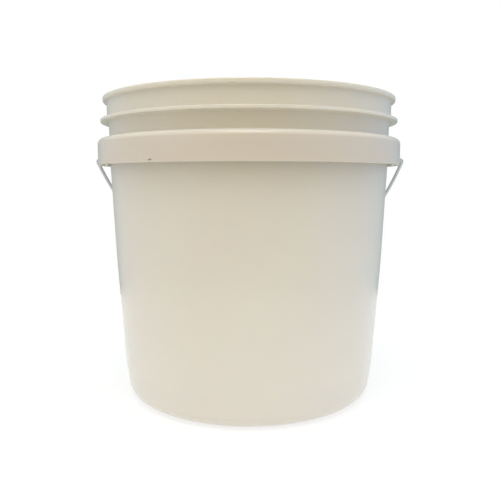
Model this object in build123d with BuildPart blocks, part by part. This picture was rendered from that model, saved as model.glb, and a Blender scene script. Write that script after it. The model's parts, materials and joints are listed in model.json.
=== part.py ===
from build123d import *
import math
import os

# Open two-gallon pail of natural HDPE with a galvanised wire bail and a plastic carrying grip.
# Millimetres, +Z up. The pail's axis is Z and its base rests on Z = 0. The bail turns about an
# axis along X, and hangs down behind the pail, on the +Y side.

# Pail wall and base; radii are of the outer surface
HEIGHT = 240.0
WALL = 1.9
FLOOR = 2.4
FOOT_R = 100.45  # where the base plane and the foot of the wall would meet without their rounding
FOOT_ROUND = 12.3
LOW_R = 104.25
LOW_Z = 27.0
MID_R = 109.65
MID_Z = 110.0
HIGH_R = 112.95  # wall at the level of the skirt's lower edge
NECK_R = 113.15  # wall between skirt and ring
UPPER_NECK_R = 114.7  # wall between ring and rim
RECESS_R = 60.0  # shallow ring moulded into the underside
RECESS_WIDTH = 14.0
RECESS_DEPTH = 1.0

# Rim lip, lid ring and skirt
LIP_R = 117.75
LIP_HEIGHT = 3.3
RING_R = 119.8
RING_Z = 222.1
RING_THICKNESS = 2.1
RING_ROUND = 0.35
SKIRT_R = 122.5
SKIRT_TOP = 208.7
SKIRT_BOTTOM = 187.7
SKIRT_THICKNESS = 2.0
SKIRT_DRAFT = 0.15
SHOULDER_FALL = 0.8
SHOULDER_ROUND = 4.2
SMALL_ROUND = 0.6
RIB_COUNT = 24
RIB_THICKNESS = 1.1
RIB_BOTTOM = 193.0
DRAIN_ANGLE = -121.0  # small slot just above the skirt's lower edge, degrees from +X
DRAIN_WIDTH = 3.2
DRAIN_HEIGHT = 1.3
DRAIN_Z = 189.4

# Bail wire and the ears it turns in
PIVOT_Z = 193.4
WIRE_D = 2.65
EAR_CLEARANCE = 0.08
EAR_PAD_R = 5.2
EAR_PAD_INNER = 118.6  # distance of the pad's inner face from the pail's axis
HEAD_D = 5.0
HEAD_OUTER = 117.4  # distance of the cold-headed button's outer face from the pail's axis
HEAD_THICKNESS = 1.4
LEG_X = 128.0
BEND_R = 3.8
LEG_LEAN = 3.0  # degrees that each leg leans inwards where it leaves its bend
LEG_CURVE_R = 465.0
LEG_TURN = 11.3
STRAIGHT_HALF = 48.0

# Grip
GRIP_LENGTH = 90.0
GRIP_R = 8.6
GRIP_GAP = 0.4  # left between the hanging grip and the wall
GRIP_FLANGE_R = 9.6
GRIP_FLANGE_WIDTH = 3.2
GRIP_BORE_CLEARANCE = 0.08
GRIP_RELIEF_R = 2.4
GRIP_COLLAR = 7.0
GROOVE_COUNT = 9
GROOVE_PITCH = 7.6
GROOVE_R = 0.7

os.makedirs("parts", exist_ok=True)


def radial_plane(angle, distance=0.0, height=0.0, facing_out=False):
    """A vertical plane at an angle round the axis, either through the axis or facing away from it."""
    out = (math.cos(angle), math.sin(angle), 0)
    around = (-math.sin(angle), math.cos(angle), 0)
    origin = (distance * out[0], distance * out[1], height)
    if facing_out:
        return Plane(origin=origin, x_dir=around, z_dir=out)
    return Plane(origin=origin, x_dir=out, z_dir=(-around[0], -around[1], 0))


# ---------------------------------------------------------------- pail

# section corners as (radius, height, rounding), from the base's centre, up outside and down inside
ring_low = RING_Z - RING_THICKNESS / 2
ring_high = RING_Z + RING_THICKNESS / 2
skirt_under = SKIRT_TOP - SKIRT_THICKNESS
inner_round = SHOULDER_ROUND - SKIRT_THICKNESS
edge_round = SKIRT_THICKNESS / 2 - 0.05
skirt_mid_r = SKIRT_R - SKIRT_DRAFT - SKIRT_THICKNESS / 2
shoulder_mid_z = SKIRT_TOP - SHOULDER_FALL - SKIRT_THICKNESS / 2
outside = [
    (0, 0, 0),
    (RECESS_R, 0, 0),
    (RECESS_R + RECESS_DEPTH, RECESS_DEPTH, 0),
    (RECESS_R + RECESS_WIDTH - RECESS_DEPTH, RECESS_DEPTH, 0),
    (RECESS_R + RECESS_WIDTH, 0, 0),
    (FOOT_R, 0, FOOT_ROUND),
    (LOW_R, LOW_Z, 60),
    (MID_R, MID_Z, 900),
    (HIGH_R, SKIRT_BOTTOM, 400),
    (NECK_R, skirt_under, 1.5),
    (SKIRT_R - SKIRT_DRAFT - SKIRT_THICKNESS, skirt_under - SHOULDER_FALL, inner_round),
    (SKIRT_R - SKIRT_THICKNESS, SKIRT_BOTTOM, edge_round),
    (SKIRT_R, SKIRT_BOTTOM, edge_round),
    (SKIRT_R - SKIRT_DRAFT, SKIRT_TOP - SHOULDER_FALL, SHOULDER_ROUND),
    (NECK_R, SKIRT_TOP, 1.0),
    (NECK_R + 0.35, ring_low, SMALL_ROUND),
    (RING_R, ring_low, RING_ROUND),
    (RING_R, ring_high, RING_ROUND),
    (UPPER_NECK_R, ring_high, SMALL_ROUND),
    (UPPER_NECK_R, HEIGHT - LIP_HEIGHT, SMALL_ROUND),
    (LIP_R, HEIGHT - LIP_HEIGHT, 1.2),
    (LIP_R, HEIGHT, SMALL_ROUND),
]
inside = [
    (UPPER_NECK_R - WALL, HEIGHT, 0.8),
    (UPPER_NECK_R - WALL, ring_high + 1, 6),
    (NECK_R - WALL, ring_low - 2, 6),
    (HIGH_R - WALL, SKIRT_BOTTOM, 400),
    (MID_R - WALL, MID_Z, 900),
    (LOW_R - WALL, LOW_Z, 60),
    (FOOT_R - WALL, FLOOR, FOOT_ROUND - WALL),
    (0, FLOOR, 0),
]
section = outside + inside

with BuildPart() as pail:
    with BuildSketch(Plane.XZ) as pail_section:
        with BuildLine() as section_outline:
            FilletPolyline(
                *[(r, z) for r, z, rounding in section],
                radius=[rounding for r, z, rounding in section],
                close=True,
            )
        make_face()
    revolve(axis=Axis.Z)

    # gussets that join the skirt to the wall, their outer edges in the middle of the skirt's thickness
    for rib in range(RIB_COUNT):
        with BuildSketch(radial_plane(math.radians((rib + 0.5) * 360 / RIB_COUNT))) as rib_section:
            with BuildLine() as rib_outline:
                FilletPolyline(
                    (HIGH_R - WALL / 2, RIB_BOTTOM - 3),
                    (skirt_mid_r, RIB_BOTTOM),
                    (skirt_mid_r, shoulder_mid_z),
                    (HIGH_R - WALL / 2, shoulder_mid_z + SHOULDER_FALL),
                    radius=[0, 0, inner_round + SKIRT_THICKNESS / 2, 0],
                    close=True,
                )
            make_face()
        extrude(amount=RIB_THICKNESS / 2, both=True)

    # ear pads inside the skirt, and the holes that the bail turns in
    pad_height = shoulder_mid_z - 0.5 - PIVOT_Z
    for side_angle in (0, math.pi):
        with BuildSketch(radial_plane(side_angle, EAR_PAD_INNER, PIVOT_Z, facing_out=True)) as ear_pad:
            Circle(EAR_PAD_R)
            with Locations((0, pad_height / 2)):
                Rectangle(2 * EAR_PAD_R, pad_height)
        extrude(amount=skirt_mid_r - EAR_PAD_INNER)
        with BuildSketch(radial_plane(side_angle, EAR_PAD_INNER - 1, PIVOT_Z, facing_out=True)) as ear_hole:
            Circle(WIRE_D / 2 + EAR_CLEARANCE)
        extrude(amount=SKIRT_R - EAR_PAD_INNER + 2, mode=Mode.SUBTRACT)

    # drain slot through the skirt, just above its lower edge
    drain_plane = radial_plane(math.radians(DRAIN_ANGLE), SKIRT_R - 4, DRAIN_Z, facing_out=True)
    with BuildSketch(drain_plane) as drain_slot:
        SlotOverall(DRAIN_WIDTH, DRAIN_HEIGHT)
    extrude(amount=6, mode=Mode.SUBTRACT)

pail.part.label = "pail"
export_step(pail.part, "parts/pail.step")

# ---------------------------------------------------------------- bail wire

# the outline of half the bail, measured from the pivot axis along its own plane
lean = math.radians(LEG_LEAN)
leg_end = math.radians(LEG_LEAN + LEG_TURN)
bend_start = LEG_X - BEND_R
leg_start_x = bend_start + BEND_R * math.cos(lean)
leg_end_x = leg_start_x - LEG_CURVE_R * (math.cos(lean) - math.cos(leg_end))
shoulder_bend_r = (leg_end_x - STRAIGHT_HALF) / math.cos(leg_end)
reach = (
    BEND_R * (1 + math.sin(lean))
    + LEG_CURVE_R * (math.sin(leg_end) - math.sin(lean))
    + shoulder_bend_r * (1 - math.sin(leg_end))
)
# the bail hangs behind the pail, at the angle where its grip lies against the wall
rest = math.acos((MID_R + GRIP_R + GRIP_GAP) / reach)
bail_plane = Plane(
    origin=(0, 0, PIVOT_Z),
    x_dir=(1, 0, 0),
    z_dir=(0, math.sin(rest), math.cos(rest)),
)

with BuildPart() as bail_wire:
    with BuildLine(bail_plane) as bail_path:
        stub = Line((HEAD_OUTER - HEAD_THICKNESS, 0), (bend_start, 0))
        bend = JernArc(start=stub @ 1, tangent=stub % 1, radius=BEND_R, arc_size=90 + LEG_LEAN)
        leg = JernArc(start=bend @ 1, tangent=bend % 1, radius=LEG_CURVE_R, arc_size=LEG_TURN)
        shoulder = JernArc(
            start=leg @ 1,
            tangent=leg % 1,
            radius=shoulder_bend_r,
            arc_size=90 - LEG_LEAN - LEG_TURN,
        )
        Line(shoulder @ 1, (0, reach))
        mirror(about=Plane.YZ)
    with BuildSketch(Plane(origin=stub @ 0, z_dir=stub % 0)) as wire_section:
        Circle(WIRE_D / 2)
    sweep(path=bail_path.wires()[0])
    # cold-headed buttons that keep the ends in their ears
    for side_angle in (0, math.pi):
        with BuildSketch(
            radial_plane(side_angle, HEAD_OUTER - HEAD_THICKNESS, PIVOT_Z, facing_out=True)
        ) as head:
            Circle(HEAD_D / 2)
        extrude(amount=HEAD_THICKNESS)

bail_wire.part.label = "bail_wire"
export_step(bail_wire.part, "parts/bail_wire.step")

# ---------------------------------------------------------------- grip

grip_centre = bail_plane.from_local_coords((0, reach))
half = GRIP_LENGTH / 2
bore_r = WIRE_D / 2 + GRIP_BORE_CLEARANCE
half_outline = [
    (half, bore_r),
    (half, GRIP_FLANGE_R - 1),
    (half - 1, GRIP_FLANGE_R),
    (half - GRIP_FLANGE_WIDTH, GRIP_FLANGE_R),
    (half - GRIP_FLANGE_WIDTH - 1, GRIP_R),
]
half_bore = [
    (half - GRIP_COLLAR - 1, GRIP_RELIEF_R),
    (half - GRIP_COLLAR, bore_r),
]
groove_half = (GROOVE_COUNT - 1) / 2

with BuildPart() as bail_grip:
    with BuildSketch(Plane(origin=grip_centre, x_dir=(1, 0, 0), z_dir=bail_plane.z_dir)) as grip_section:
        with BuildLine() as grip_outline:
            Polyline(
                *half_outline,
                *[(-x, r) for x, r in reversed(half_outline)],
                *[(-x, r) for x, r in reversed(half_bore)],
                *half_bore,
                close=True,
            )
        make_face()
        with Locations(*[((i - groove_half) * GROOVE_PITCH, GRIP_R) for i in range(GROOVE_COUNT)]):
            Circle(GROOVE_R, mode=Mode.SUBTRACT)
    revolve(axis=Axis(grip_centre, (1, 0, 0)))

bail_grip.part.label = "bail_grip"
export_step(bail_grip.part, "parts/bail_grip.step")

print("bail reach", round(reach, 2), "rest angle", round(math.degrees(rest), 2))
print("grip centre", [round(v, 3) for v in grip_centre])
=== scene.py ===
import json
import math

import bmesh
import bpy
from mathutils import Matrix, Vector


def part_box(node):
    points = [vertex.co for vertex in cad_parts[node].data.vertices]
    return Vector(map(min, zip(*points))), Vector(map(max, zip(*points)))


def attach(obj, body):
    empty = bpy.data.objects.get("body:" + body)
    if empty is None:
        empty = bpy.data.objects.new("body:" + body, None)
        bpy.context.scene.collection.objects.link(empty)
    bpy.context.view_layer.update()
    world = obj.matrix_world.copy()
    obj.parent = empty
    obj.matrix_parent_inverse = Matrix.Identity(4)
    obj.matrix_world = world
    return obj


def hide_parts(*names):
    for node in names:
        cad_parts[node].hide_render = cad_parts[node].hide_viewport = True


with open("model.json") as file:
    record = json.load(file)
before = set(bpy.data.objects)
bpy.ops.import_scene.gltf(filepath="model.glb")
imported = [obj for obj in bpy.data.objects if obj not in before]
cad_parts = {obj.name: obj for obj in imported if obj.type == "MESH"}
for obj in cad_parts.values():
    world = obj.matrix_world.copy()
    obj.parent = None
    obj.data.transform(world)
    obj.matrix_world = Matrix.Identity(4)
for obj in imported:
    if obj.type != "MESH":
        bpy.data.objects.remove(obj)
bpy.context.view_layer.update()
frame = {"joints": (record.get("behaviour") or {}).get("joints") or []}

# Metres and radians. Places come from the frame; small features are offsets from them.
MM = 0.001
pail_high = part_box("pail")[1]
wire_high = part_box("bail_wire")[1]
grip_low, grip_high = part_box("bail_grip")
joint_places = {joint["name"]: Vector(joint["pos_m"]) for joint in frame["joints"]}
pivot = joint_places["bail_swing"]
grip_centre = joint_places["grip_spin"]

HEIGHT = pail_high.z
SKIRT_R = pail_high.x
FOOT_R = SKIRT_R - 22.05 * MM
LOW_R = SKIRT_R - 18.25 * MM
LOW_Z = 27 * MM
MID_R = SKIRT_R - 12.85 * MM
MID_Z = 110 * MM
HIGH_R = SKIRT_R - 9.55 * MM
NECK_R = SKIRT_R - 9.35 * MM
UPPER_NECK_R = SKIRT_R - 7.8 * MM
WALL = 1.9 * MM
FLOOR = 2.4 * MM
FOOT_ROUND = 12.3 * MM
LIP_R = SKIRT_R - 4.75 * MM
LIP_HEIGHT = 3.3 * MM
RING_R = SKIRT_R - 2.7 * MM
RING_LOW = HEIGHT - 18.95 * MM
RING_HIGH = HEIGHT - 16.85 * MM
SKIRT_TOP = HEIGHT - 31.3 * MM
SKIRT_BOTTOM = HEIGHT - 52.3 * MM
SKIRT_THICKNESS = 2 * MM
SKIRT_DRAFT = 0.15 * MM
SHOULDER_FALL = 0.8 * MM
SHOULDER_ROUND = 4.2 * MM
RECESS_INNER_R = 60 * MM
RECESS_OUTER_R = 74 * MM
RECESS_DEPTH = 1 * MM
RIB_COUNT = 24
RIB_HALF_THICKNESS = 0.55 * MM
RIB_INNER_Z = 190 * MM
RIB_OUTER_Z = 193 * MM
EAR_PAD_R = 5.2 * MM
EAR_PAD_INNER = 118.6 * MM
DRAIN_ANGLE = math.radians(-121)
DRAIN_Z = HEIGHT - 50.6 * MM

WIRE_R = 1.325 * MM
LEG_X = wire_high.x - WIRE_R
BEND_R = 3.8 * MM
LEG_LEAN = math.radians(3)
LEG_TURN = math.radians(11.3)
LEG_CURVE_R = 465 * MM
STRAIGHT_HALF = 48 * MM
HEAD_INNER = 116 * MM
HEAD_R = 2.5 * MM
HEAD_THICKNESS = 1.4 * MM
RUNNING_CLEARANCE = 0.08 * MM  # between the wire and the holes that it turns in
GROOVE_COUNT = 9
GROOVE_PITCH = 7.6 * MM
COLLAR = 7 * MM
RELIEF_R = 2.4 * MM


# ---------------------------------------------------------------- mesh helpers


def arc_points(before, corner, after, radius, step=math.radians(9)):
    """Points of the tangent arc that rounds one corner of an outline."""
    into = (before - corner).normalized()
    out = (after - corner).normalized()
    half = into.angle(out) / 2
    turn = math.pi - 2 * half
    if radius <= 0 or turn < math.radians(0.2):
        return [corner]
    setback = radius / math.tan(half)
    centre = corner + (into + out).normalized() * (radius / math.sin(half))
    start = corner + into * setback - centre
    end = corner + out * setback - centre
    count = max(3, math.ceil(turn / step))
    points = []
    for i in range(count + 1):
        weight_a = math.sin((1 - i / count) * turn) / math.sin(turn)
        weight_b = math.sin(i / count * turn) / math.sin(turn)
        points.append(centre + start * weight_a + end * weight_b)
    return points


def rounded(corners):
    """A smooth outline from (x, y, radius) corners; the first and last corner stay sharp."""
    spots = [Vector(corner[:2]) for corner in corners]
    outline = [spots[0]]
    for i in range(1, len(corners) - 1):
        outline += arc_points(spots[i - 1], spots[i], spots[i + 1], corners[i][2])
    return outline + [spots[-1]]


def lathe(name, outline, segments, place=Matrix(), closed=True):
    """A mesh turned from an outline of (radius, distance along the axis) points."""
    bm = bmesh.new()
    rings = []
    for radius, distance in outline:
        if radius < 1e-7:
            rings.append([bm.verts.new(place @ Vector((0, 0, distance)))])
            continue
        ring = []
        for i in range(segments):
            angle = 2 * math.pi * i / segments
            spot = Vector((radius * math.cos(angle), radius * math.sin(angle), distance))
            ring.append(bm.verts.new(place @ spot))
        rings.append(ring)
    pairs = list(zip(rings, rings[1:]))
    if closed:
        pairs.append((rings[-1], rings[0]))
    for low, high in pairs:
        for i in range(segments):
            j = (i + 1) % segments
            around = [low[i % len(low)], low[j % len(low)], high[j % len(high)], high[i % len(high)]]
            corners = list(dict.fromkeys(around))
            if len(corners) > 2:
                bm.faces.new(corners)
    return make_object(name, bm)


def make_object(name, bm, crease=math.radians(35)):
    """A smooth-shaded object from a bmesh, with outward normals and edges sharp above an angle."""
    bmesh.ops.recalc_face_normals(bm, faces=bm.faces)
    mesh = bpy.data.meshes.new(name)
    bm.to_mesh(mesh)
    bm.free()
    mesh.shade_smooth()
    mesh.set_sharp_from_angle(angle=crease)
    piece = bpy.data.objects.new(name, mesh)
    bpy.context.scene.collection.objects.link(piece)
    return piece


def prism(bm, outline, half_depth, place):
    """Adds a closed prism to a bmesh: an outline in x and z, pushed both ways along y."""
    sides = []
    for shift in (-half_depth, half_depth):
        sides.append([bm.verts.new(place @ Vector((x, shift, z))) for x, z in outline])
    bm.faces.new(sides[0])
    bm.faces.new(list(reversed(sides[1])))
    for i in range(len(outline)):
        j = (i + 1) % len(outline)
        bm.faces.new((sides[0][i], sides[0][j], sides[1][j], sides[1][i]))


def combine(piece, tool, operation):
    """Cuts a tool from a piece, or joins it on, and removes the tool."""
    modifier = piece.modifiers.new(operation.lower(), "BOOLEAN")
    modifier.operation = operation
    modifier.solver = "EXACT"
    modifier.object = tool
    graph = bpy.context.evaluated_depsgraph_get()
    mesh = bpy.data.meshes.new_from_object(piece.evaluated_get(graph))
    piece.modifiers.clear()
    piece.data = mesh
    bpy.data.objects.remove(tool)


def finish_shading(piece, crease=math.radians(35)):
    """Smooth shading with sharp edges above an angle, after the booleans."""
    piece.data.shade_smooth()
    piece.data.set_sharp_from_angle(angle=crease)


# ---------------------------------------------------------------- pail


def pail_outline():
    """Radius and height of the moulding's section, from the centre of the base and back."""
    skirt_under = SKIRT_TOP - SKIRT_THICKNESS
    shoulder_in = SKIRT_R - SKIRT_THICKNESS
    recess_round = 0.8 * MM
    edge_round = 0.9 * MM
    ring_round = 0.35 * MM
    small = 0.6 * MM
    corners = [
        (0, 0, 0),
        (RECESS_INNER_R, 0, recess_round),
        (RECESS_INNER_R + RECESS_DEPTH, RECESS_DEPTH, recess_round),
        (RECESS_OUTER_R - RECESS_DEPTH, RECESS_DEPTH, recess_round),
        (RECESS_OUTER_R, 0, recess_round),
        (FOOT_R, 0, FOOT_ROUND),
        (LOW_R, LOW_Z, 60 * MM),
        (MID_R, MID_Z, 900 * MM),
        (HIGH_R, SKIRT_BOTTOM, 400 * MM),
        (NECK_R, skirt_under, 1.5 * MM),
        (shoulder_in - SKIRT_DRAFT, skirt_under - SHOULDER_FALL, SHOULDER_ROUND - SKIRT_THICKNESS),
        (shoulder_in, SKIRT_BOTTOM, edge_round),
        (SKIRT_R, SKIRT_BOTTOM, edge_round),
        (SKIRT_R - SKIRT_DRAFT, SKIRT_TOP - SHOULDER_FALL, SHOULDER_ROUND),
        (NECK_R, SKIRT_TOP, 1 * MM),
        (NECK_R + 0.35 * MM, RING_LOW, small),
        (RING_R, RING_LOW, ring_round),
        (RING_R, RING_HIGH, ring_round),
        (UPPER_NECK_R, RING_HIGH, small),
        (UPPER_NECK_R, HEIGHT - LIP_HEIGHT, small),
        (LIP_R, HEIGHT - LIP_HEIGHT, 1.2 * MM),
        (LIP_R, HEIGHT, small),
        (UPPER_NECK_R - WALL, HEIGHT, 0.8 * MM),
        (UPPER_NECK_R - WALL, RING_HIGH + 1 * MM, 6 * MM),
        (NECK_R - WALL, RING_LOW - 2 * MM, 6 * MM),
        (HIGH_R - WALL, SKIRT_BOTTOM, 400 * MM),
        (MID_R - WALL, MID_Z, 900 * MM),
        (LOW_R - WALL, LOW_Z, 60 * MM),
        (FOOT_R - WALL, FLOOR, FOOT_ROUND - WALL),
        (0, FLOOR, 0),
    ]
    return [tuple(point) for point in rounded(corners)]


def add_gussets(shell):
    """Thin upright gussets between the skirt and the wall."""
    bm = bmesh.new()
    mid_r = SKIRT_R - SKIRT_DRAFT - SKIRT_THICKNESS / 2
    mid_z = SKIRT_TOP - SHOULDER_FALL - SKIRT_THICKNESS / 2
    inside_wall = HIGH_R - WALL / 2
    corners = [
        (inside_wall, RIB_INNER_Z, 0),
        (mid_r, RIB_OUTER_Z, 0.3 * MM),
        (mid_r, mid_z, SHOULDER_ROUND - SKIRT_THICKNESS / 2),
        (inside_wall, mid_z + SHOULDER_FALL, 0),
    ]
    outline = [tuple(point) for point in rounded(corners)]
    for rib in range(RIB_COUNT):
        turn = Matrix.Rotation((rib + 0.5) * 2 * math.pi / RIB_COUNT, 4, "Z")
        prism(bm, outline, RIB_HALF_THICKNESS, turn)
    combine(shell, make_object("gussets", bm), "UNION")


def add_ears(shell):
    """The thick pads inside the skirt that the bail turns in, and their holes."""
    pad_outer = SKIRT_R - SKIRT_DRAFT - SKIRT_THICKNESS / 2
    pad_top = SKIRT_TOP - SHOULDER_FALL - SKIRT_THICKNESS / 2 - 0.5 * MM - pivot.z
    outline = [(-EAR_PAD_R, pad_top)]
    for i in range(25):
        angle = math.pi * (1 + i / 24)
        outline.append((EAR_PAD_R * math.cos(angle), EAR_PAD_R * math.sin(angle)))
    outline.append((EAR_PAD_R, pad_top))
    pads = bmesh.new()
    holes = bmesh.new()
    for side in (-1, 1):
        facing = Matrix.Rotation(side * math.pi / 2, 4, "Z")
        middle = Vector((side * (EAR_PAD_INNER + pad_outer) / 2, 0, pivot.z))
        prism(pads, outline, (pad_outer - EAR_PAD_INNER) / 2, Matrix.Translation(middle) @ facing)
        bmesh.ops.create_cone(
            holes,
            cap_ends=True,
            segments=48,
            radius1=WIRE_R + RUNNING_CLEARANCE,
            radius2=WIRE_R + RUNNING_CLEARANCE,
            depth=8 * MM,
            matrix=Matrix.Translation(middle) @ Matrix.Rotation(math.pi / 2, 4, "Y"),
        )
    combine(shell, make_object("ear_pads", pads), "UNION")
    combine(shell, make_object("ear_holes", holes), "DIFFERENCE")


def cut_drain(shell):
    """The small slot just above the skirt's lower edge, at one side of the front."""
    half_width = 1.6 * MM
    half_height = 0.65 * MM
    outline = []
    for i in range(24):
        angle = 2 * math.pi * i / 24
        shift = math.copysign(half_width - half_height, math.cos(angle))
        outline.append((half_height * math.cos(angle) + shift, half_height * math.sin(angle)))
    bm = bmesh.new()
    out = Vector((math.cos(DRAIN_ANGLE), math.sin(DRAIN_ANGLE), 0))
    place = Matrix.Translation(out * (SKIRT_R - 1 * MM) + Vector((0, 0, DRAIN_Z)))
    prism(bm, outline, 3 * MM, place @ Matrix.Rotation(DRAIN_ANGLE + math.pi / 2, 4, "Z"))
    combine(shell, make_object("drain", bm), "DIFFERENCE")


def make_pail():
    """The pail's moulding, turned round its axis, with its gussets, ears and drain slot."""
    shell = lathe("pail_shell", pail_outline(), 360, closed=False)
    add_gussets(shell)
    add_ears(shell)
    cut_drain(shell)
    finish_shading(shell)
    return shell


pail_shell = make_pail()
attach(pail_shell, "pail")
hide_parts("pail")


# ---------------------------------------------------------------- bail


def bail_path():
    """Half of the bail's centre line, as (x, distance from the pivot axis), from its head."""
    lean_end = LEG_LEAN + LEG_TURN
    bend_start = LEG_X - BEND_R
    points = [(HEAD_INNER, 0)]
    for i in range(13):
        turn = (math.pi / 2 + LEG_LEAN) * i / 12
        points.append((bend_start + BEND_R * math.sin(turn), BEND_R * (1 - math.cos(turn))))
    x, y = points[-1]
    for i in range(1, 25):
        turn = LEG_LEAN + LEG_TURN * i / 24
        points.append((
            x - LEG_CURVE_R * (math.cos(LEG_LEAN) - math.cos(turn)),
            y + LEG_CURVE_R * (math.sin(turn) - math.sin(LEG_LEAN)),
        ))
    x, y = points[-1]
    shoulder_r = (x - STRAIGHT_HALF) / math.cos(lean_end)
    for i in range(1, 33):
        turn = lean_end + (math.pi / 2 - lean_end) * i / 32
        points.append((
            x - shoulder_r * (math.cos(lean_end) - math.cos(turn)),
            y + shoulder_r * (math.sin(turn) - math.sin(lean_end)),
        ))
    return points


def make_bail():
    """The galvanised wire, swept round its planar path, with its cold-headed ends."""
    half = bail_path()
    reach_point = grip_centre - pivot
    outward = reach_point.normalized()
    scale = reach_point.length / half[-1][1]
    flat = [(x, y * scale) for x, y in half]
    flat += [(-x, y) for x, y in reversed(flat)]
    spots = [pivot + Vector((x, 0, 0)) + outward * y for x, y in flat]
    normal = Vector((1, 0, 0)).cross(outward)
    bm = bmesh.new()
    rings = []
    for i, spot in enumerate(spots):
        along = (spots[min(i + 1, len(spots) - 1)] - spots[max(i - 1, 0)]).normalized()
        side = normal.cross(along)
        ring = []
        for k in range(24):
            angle = 2 * math.pi * k / 24
            ring.append(bm.verts.new(spot + (side * math.cos(angle) + normal * math.sin(angle)) * WIRE_R))
        rings.append(ring)
    for low, high in zip(rings, rings[1:]):
        for k in range(24):
            j = (k + 1) % 24
            bm.faces.new((low[k], low[j], high[j], high[k]))
    bm.faces.new(list(reversed(rings[0])))
    bm.faces.new(rings[-1])
    wire = make_object("bail_galvanised_wire", bm)
    head = [
        (0, 0, 0),
        (HEAD_R - 0.15 * MM, 0, 0.35 * MM),
        (HEAD_R, HEAD_THICKNESS / 2, 0.5 * MM),
        (HEAD_R - 0.2 * MM, HEAD_THICKNESS, 0.3 * MM),
        (0, HEAD_THICKNESS, 0),
    ]
    outline = [tuple(point) for point in rounded(head)]
    for side in (-1, 1):
        place = Matrix.Translation(pivot + Vector((side * HEAD_INNER, 0, 0)))
        turned = place @ Matrix.Rotation(side * math.pi / 2, 4, "Y")
        button = lathe("head", outline, 32, turned, closed=False)
        combine(wire, button, "UNION")
    finish_shading(wire)
    return wire


bail_wire = make_bail()
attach(bail_wire, "bail")
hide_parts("bail_wire")


# ---------------------------------------------------------------- grip


def make_grip():
    """The moulded grip that turns on the wire, with end flanges and finger grooves."""
    half = (grip_high.x - grip_low.x) / 2
    flange_r = (grip_high.z - grip_low.z) / 2
    body_r = flange_r - 1 * MM
    bore_r = WIRE_R + RUNNING_CLEARANCE
    groove_r = 0.7 * MM
    outer = [
        (bore_r, half, 0.3 * MM),
        (flange_r - 0.6 * MM, half, 0.5 * MM),
        (flange_r, half - 0.8 * MM, 0.5 * MM),
        (flange_r, half - 3 * MM, 0.5 * MM),
        (body_r, half - 4.2 * MM, 0.8 * MM),
    ]
    grooves = []
    for i in range(GROOVE_COUNT):
        middle = (GROOVE_COUNT // 2 - i) * GROOVE_PITCH
        grooves += [
            (body_r, middle + 1.1 * groove_r, 0.35 * MM),
            (body_r - 0.8 * groove_r, middle + 0.5 * groove_r, 0.3 * MM),
            (body_r - 0.8 * groove_r, middle - 0.5 * groove_r, 0.3 * MM),
            (body_r, middle - 1.1 * groove_r, 0.35 * MM),
        ]
    mirrored = [(r, -z, rounding) for r, z, rounding in reversed(outer)]
    bore = [
        (bore_r, -half + COLLAR, 0.2 * MM),
        (RELIEF_R, -half + COLLAR + 1 * MM, 0.2 * MM),
        (RELIEF_R, half - COLLAR - 1 * MM, 0.2 * MM),
        (bore_r, half - COLLAR, 0.2 * MM),
    ]
    corners = outer + grooves + mirrored + bore
    outline = [tuple(point) for point in rounded(corners)]
    place = Matrix.Translation(grip_centre) @ Matrix.Rotation(math.pi / 2, 4, "Y")
    return lathe("bail_hand_grip", outline, 96, place)


bail_grip = make_grip()
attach(bail_grip, "grip")
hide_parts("bail_grip")


# ---------------------------------------------------------------- materials


def new_material(name):
    """A node material, with its nodes, its links and its main shader."""
    material = bpy.data.materials.new(name)
    material.use_nodes = True
    nodes = material.node_tree.nodes
    return material, nodes, material.node_tree.links, nodes["Principled BSDF"]


def object_noise(nodes, links, scale, detail, stretch=(1, 1, 1)):
    """A noise texture in the object's own space, in features per metre."""
    place = nodes.new("ShaderNodeTexCoord")
    mapping = nodes.new("ShaderNodeMapping")
    mapping.inputs["Scale"].default_value = stretch
    links.new(place.outputs["Object"], mapping.inputs["Vector"])
    noise = nodes.new("ShaderNodeTexNoise")
    noise.inputs["Scale"].default_value = scale
    noise.inputs["Detail"].default_value = detail
    links.new(mapping.outputs[0], noise.inputs["Vector"])
    return noise.outputs["Fac"]


def spread(nodes, links, source, low, high):
    """Maps the middle of a noise's range to a range of values."""
    ramp = nodes.new("ShaderNodeMapRange")
    ramp.inputs["From Min"].default_value = 0.3
    ramp.inputs["From Max"].default_value = 0.7
    ramp.inputs["To Min"].default_value = low
    ramp.inputs["To Max"].default_value = high
    links.new(source, ramp.inputs["Value"])
    return ramp.outputs[0]


def tint(nodes, links, source, color_a, color_b):
    """A colour between two, by a value from 0 to 1."""
    mix = nodes.new("ShaderNodeMix")
    mix.data_type = "RGBA"
    links.new(source, mix.inputs["Factor"])
    mix.inputs["A"].default_value = (*color_a, 1)
    mix.inputs["B"].default_value = (*color_b, 1)
    return mix.outputs["Result"]


def outer_zone(nodes, links, begins, full):
    """Rises from 0 to 1 with distance from the pail's axis."""
    place = nodes.new("ShaderNodeTexCoord")
    flat = nodes.new("ShaderNodeVectorMath")
    flat.operation = "MULTIPLY"
    flat.inputs[1].default_value = (1, 1, 0)
    links.new(place.outputs["Object"], flat.inputs[0])
    length = nodes.new("ShaderNodeVectorMath")
    length.operation = "LENGTH"
    links.new(flat.outputs[0], length.inputs[0])
    ramp = nodes.new("ShaderNodeMapRange")
    ramp.inputs["From Min"].default_value = begins
    ramp.inputs["From Max"].default_value = full
    links.new(length.outputs["Value"], ramp.inputs["Value"])
    return ramp.outputs[0]


def paint_shade(nodes, links, painted_shade_zone, color, factor):
    """Multiplies a colour by a factor inside a zone, which paints shade there."""
    mix = nodes.new("ShaderNodeMix")
    mix.data_type = "RGBA"
    mix.blend_type = "MULTIPLY"
    links.new(painted_shade_zone, mix.inputs["Factor"])
    links.new(color, mix.inputs["A"])
    mix.inputs["B"].default_value = (*factor, 1)
    return mix.outputs["Result"]


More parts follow.
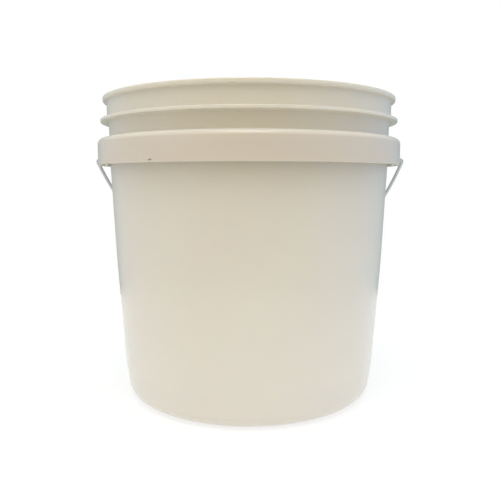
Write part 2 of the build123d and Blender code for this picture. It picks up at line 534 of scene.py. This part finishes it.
def bump(nodes, links, source, height, shader, strength=1.0):
    """Fine relief on a shader, from a value from 0 to 1."""
    relief = nodes.new("ShaderNodeBump")
    relief.inputs["Distance"].default_value = height
    relief.inputs["Strength"].default_value = strength
    links.new(source, relief.inputs["Height"])
    links.new(relief.outputs[0], shader.inputs["Normal"])


def hdpe_material():
    """Natural polyethylene: cloudy warm white, a little translucent, with a soft gloss and painted shade
    on the skirt.
    """
    material, nodes, links, shader = new_material("natural_hdpe")
    cloud = spread(nodes, links, object_noise(nodes, links, 9, 3), 0, 1)
    color = tint(nodes, links, cloud, (0.715, 0.666, 0.600), (0.737, 0.690, 0.626))
    # Painted shade: the skirt's outer band is darkened in colour, since without this the skirt comes out
    # too bright. The real cause of its darker look is not known.
    painted_shade_zone = outer_zone(nodes, links, SKIRT_R - 2.2 * MM, SKIRT_R - 1.0 * MM)
    links.new(paint_shade(nodes, links, painted_shade_zone, color, (0.935, 0.890, 0.865)), shader.inputs["Base Color"])
    shader.inputs["Subsurface Weight"].default_value = 0.4
    shader.inputs["Subsurface Radius"].default_value = (1.0, 0.8, 0.5)
    shader.inputs["Subsurface Scale"].default_value = 0.006
    # A roughness that crosses about 0.27 renders with blotches, so the whole range lies below it.
    gloss = spread(nodes, links, object_noise(nodes, links, 55, 4), 0.205, 0.262)
    links.new(gloss, shader.inputs["Roughness"])
    shader.inputs["IOR"].default_value = 1.54
    waves = object_noise(nodes, links, 30, 4, (1, 1, 0.5))
    bump(nodes, links, waves, 0.0002, shader, 0.35)
    return material


def galvanised_material():
    """Drawn wire under a zinc coat: grey spangle, fine lines and a dull metal gloss."""
    material, nodes, links, shader = new_material("galvanised_wire")
    spangle = spread(nodes, links, object_noise(nodes, links, 400, 5), 0, 1)
    color = tint(nodes, links, spangle, (0.50, 0.51, 0.52), (0.58, 0.59, 0.60))
    links.new(color, shader.inputs["Base Color"])
    shader.inputs["Metallic"].default_value = 0.9
    gloss = spread(nodes, links, object_noise(nodes, links, 900, 3), 0.36, 0.46)
    links.new(gloss, shader.inputs["Roughness"])
    lines = object_noise(nodes, links, 1500, 4, (0.3, 1, 1))
    bump(nodes, links, lines, 0.00001, shader, 0.3)
    return material


def grip_material():
    """Moulded matt plastic with a fine spark-eroded texture."""
    material, nodes, links, shader = new_material("grip_plastic")
    cloud = spread(nodes, links, object_noise(nodes, links, 60, 4), 0, 1)
    color = tint(nodes, links, cloud, (0.72, 0.71, 0.67), (0.77, 0.76, 0.72))
    links.new(color, shader.inputs["Base Color"])
    gloss = spread(nodes, links, object_noise(nodes, links, 300, 4), 0.42, 0.55)
    links.new(gloss, shader.inputs["Roughness"])
    grain = object_noise(nodes, links, 2500, 3)
    bump(nodes, links, grain, 0.00006, shader, 0.5)
    return material


for piece, material in (
    (pail_shell, hdpe_material()),
    (bail_wire, galvanised_material()),
    (bail_grip, grip_material()),
):
    piece.data.materials.clear()
    piece.data.materials.append(material)


# ---------------------------------------------------------------- stage, light and camera

CAMERA_DISTANCE = 491.7 * MM
CAMERA_HEIGHT = 174.4 * MM
CAMERA_PITCH = 0.1177
CAMERA_AZIMUTH = math.radians(1.1)
CAMERA_SIDESTEP = 1.6 * MM
LENS = 41.615
FLOOR_R = 0.45
FLOOR_DROP = 0.1 * MM
BASE_LIGHT = (0.27, 0.36, 0.28)
# Soft lights as (direction, cosine where it begins, cosine where it is full, colour). Their colours and
# the pail's base colour were fitted together to one picture, so neither is a measured value.
SOFT_LIGHTS = (
    ((0, 0, 1), 0.25, 0.75, (0.58, 0.63, 0.64)),
    ((0, -0.37, 0.93), 0.94, 0.985, (4.2, 4.1, 3.9)),
    ((0, -0.98, 0.2), 0.0, 0.95, (0.26, 0.10, 0.0)),
    ((0, 0.99, 0.15), 0.3, 0.95, (0.0, 0.01, 0.08)),
    ((-0.97, 0, 0.24), 0.3, 0.95, (0.40, 0.37, 0.52)),
    ((0.97, 0, 0.24), 0.3, 0.95, (0.24, 0.29, 0.57)),
)


def make_camera():
    """The camera in front of the pail, a little above its middle, looking slightly down."""
    data = bpy.data.cameras.new("camera")
    data.lens = LENS
    camera = bpy.data.objects.new("camera", data)
    bpy.context.scene.collection.objects.link(camera)
    back = Vector((math.sin(CAMERA_AZIMUTH), -math.cos(CAMERA_AZIMUTH), 0))
    right = Vector((math.cos(CAMERA_AZIMUTH), math.sin(CAMERA_AZIMUTH), 0))
    camera.location = back * CAMERA_DISTANCE + right * CAMERA_SIDESTEP + Vector((0, 0, CAMERA_HEIGHT))
    camera.rotation_euler = (math.pi / 2 - CAMERA_PITCH, 0, CAMERA_AZIMUTH)
    bpy.context.scene.camera = camera


def make_floor():
    """A round pale floor that glows, and is clear from below."""
    bm = bmesh.new()
    bmesh.ops.create_circle(bm, cap_ends=True, segments=96, radius=FLOOR_R)
    bmesh.ops.translate(bm, verts=bm.verts, vec=(0, 0, -FLOOR_DROP))
    floor = make_object("floor", bm)
    material, nodes, links, shader = new_material("floor")
    shader.inputs["Base Color"].default_value = (0.3, 0.3, 0.3, 1)
    shader.inputs["Roughness"].default_value = 0.9
    shader.inputs["Specular IOR Level"].default_value = 0.1
    shader.inputs["Emission Color"].default_value = (1, 1, 1, 1)
    shader.inputs["Emission Strength"].default_value = 0.68
    geometry = nodes.new("ShaderNodeNewGeometry")
    clear = nodes.new("ShaderNodeBsdfTransparent")
    sides = nodes.new("ShaderNodeMixShader")
    links.new(geometry.outputs["Backfacing"], sides.inputs[0])
    links.new(shader.outputs[0], sides.inputs[1])
    links.new(clear.outputs[0], sides.inputs[2])
    links.new(sides.outputs[0], nodes["Material Output"].inputs["Surface"])
    floor.data.materials.append(material)


def add_soft_light(nodes, links, direction, begins, full, color, rest):
    """A wide soft light in one direction of the studio, added to the light so far."""
    place = nodes.new("ShaderNodeTexCoord")
    toward = nodes.new("ShaderNodeVectorMath")
    toward.operation = "DOT_PRODUCT"
    toward.inputs[1].default_value = direction
    links.new(place.outputs["Generated"], toward.inputs[0])
    ramp = nodes.new("ShaderNodeMapRange")
    ramp.interpolation_type = "SMOOTHSTEP"
    ramp.inputs["From Min"].default_value = begins
    ramp.inputs["From Max"].default_value = full
    links.new(toward.outputs["Value"], ramp.inputs["Value"])
    light = nodes.new("ShaderNodeBackground")
    light.inputs["Color"].default_value = (*color, 1)
    links.new(ramp.outputs[0], light.inputs["Strength"])
    both = nodes.new("ShaderNodeAddShader")
    links.new(rest, both.inputs[0])
    links.new(light.outputs[0], both.inputs[1])
    return both.outputs[0]


def make_world():
    """Soft light from above, the front and both sides; the camera itself sees plain white."""
    world = bpy.data.worlds.new("studio")
    bpy.context.scene.world = world
    world.use_nodes = True
    nodes = world.node_tree.nodes
    links = world.node_tree.links
    nodes.clear()
    base = nodes.new("ShaderNodeBackground")
    base.inputs["Color"].default_value = (*BASE_LIGHT, 1)
    studio = base.outputs[0]
    for direction, begins, full, color in SOFT_LIGHTS:
        studio = add_soft_light(nodes, links, direction, begins, full, color, studio)
    white = nodes.new("ShaderNodeBackground")
    white.inputs["Color"].default_value = (1, 1, 1, 1)
    path = nodes.new("ShaderNodeLightPath")
    mix = nodes.new("ShaderNodeMixShader")
    links.new(path.outputs["Is Camera Ray"], mix.inputs[0])
    links.new(studio, mix.inputs[1])
    links.new(white.outputs[0], mix.inputs[2])
    output = nodes.new("ShaderNodeOutputWorld")
    links.new(mix.outputs[0], output.inputs["Surface"])


make_camera()
make_floor()
make_world()
bpy.context.scene.view_settings.view_transform = "Standard"
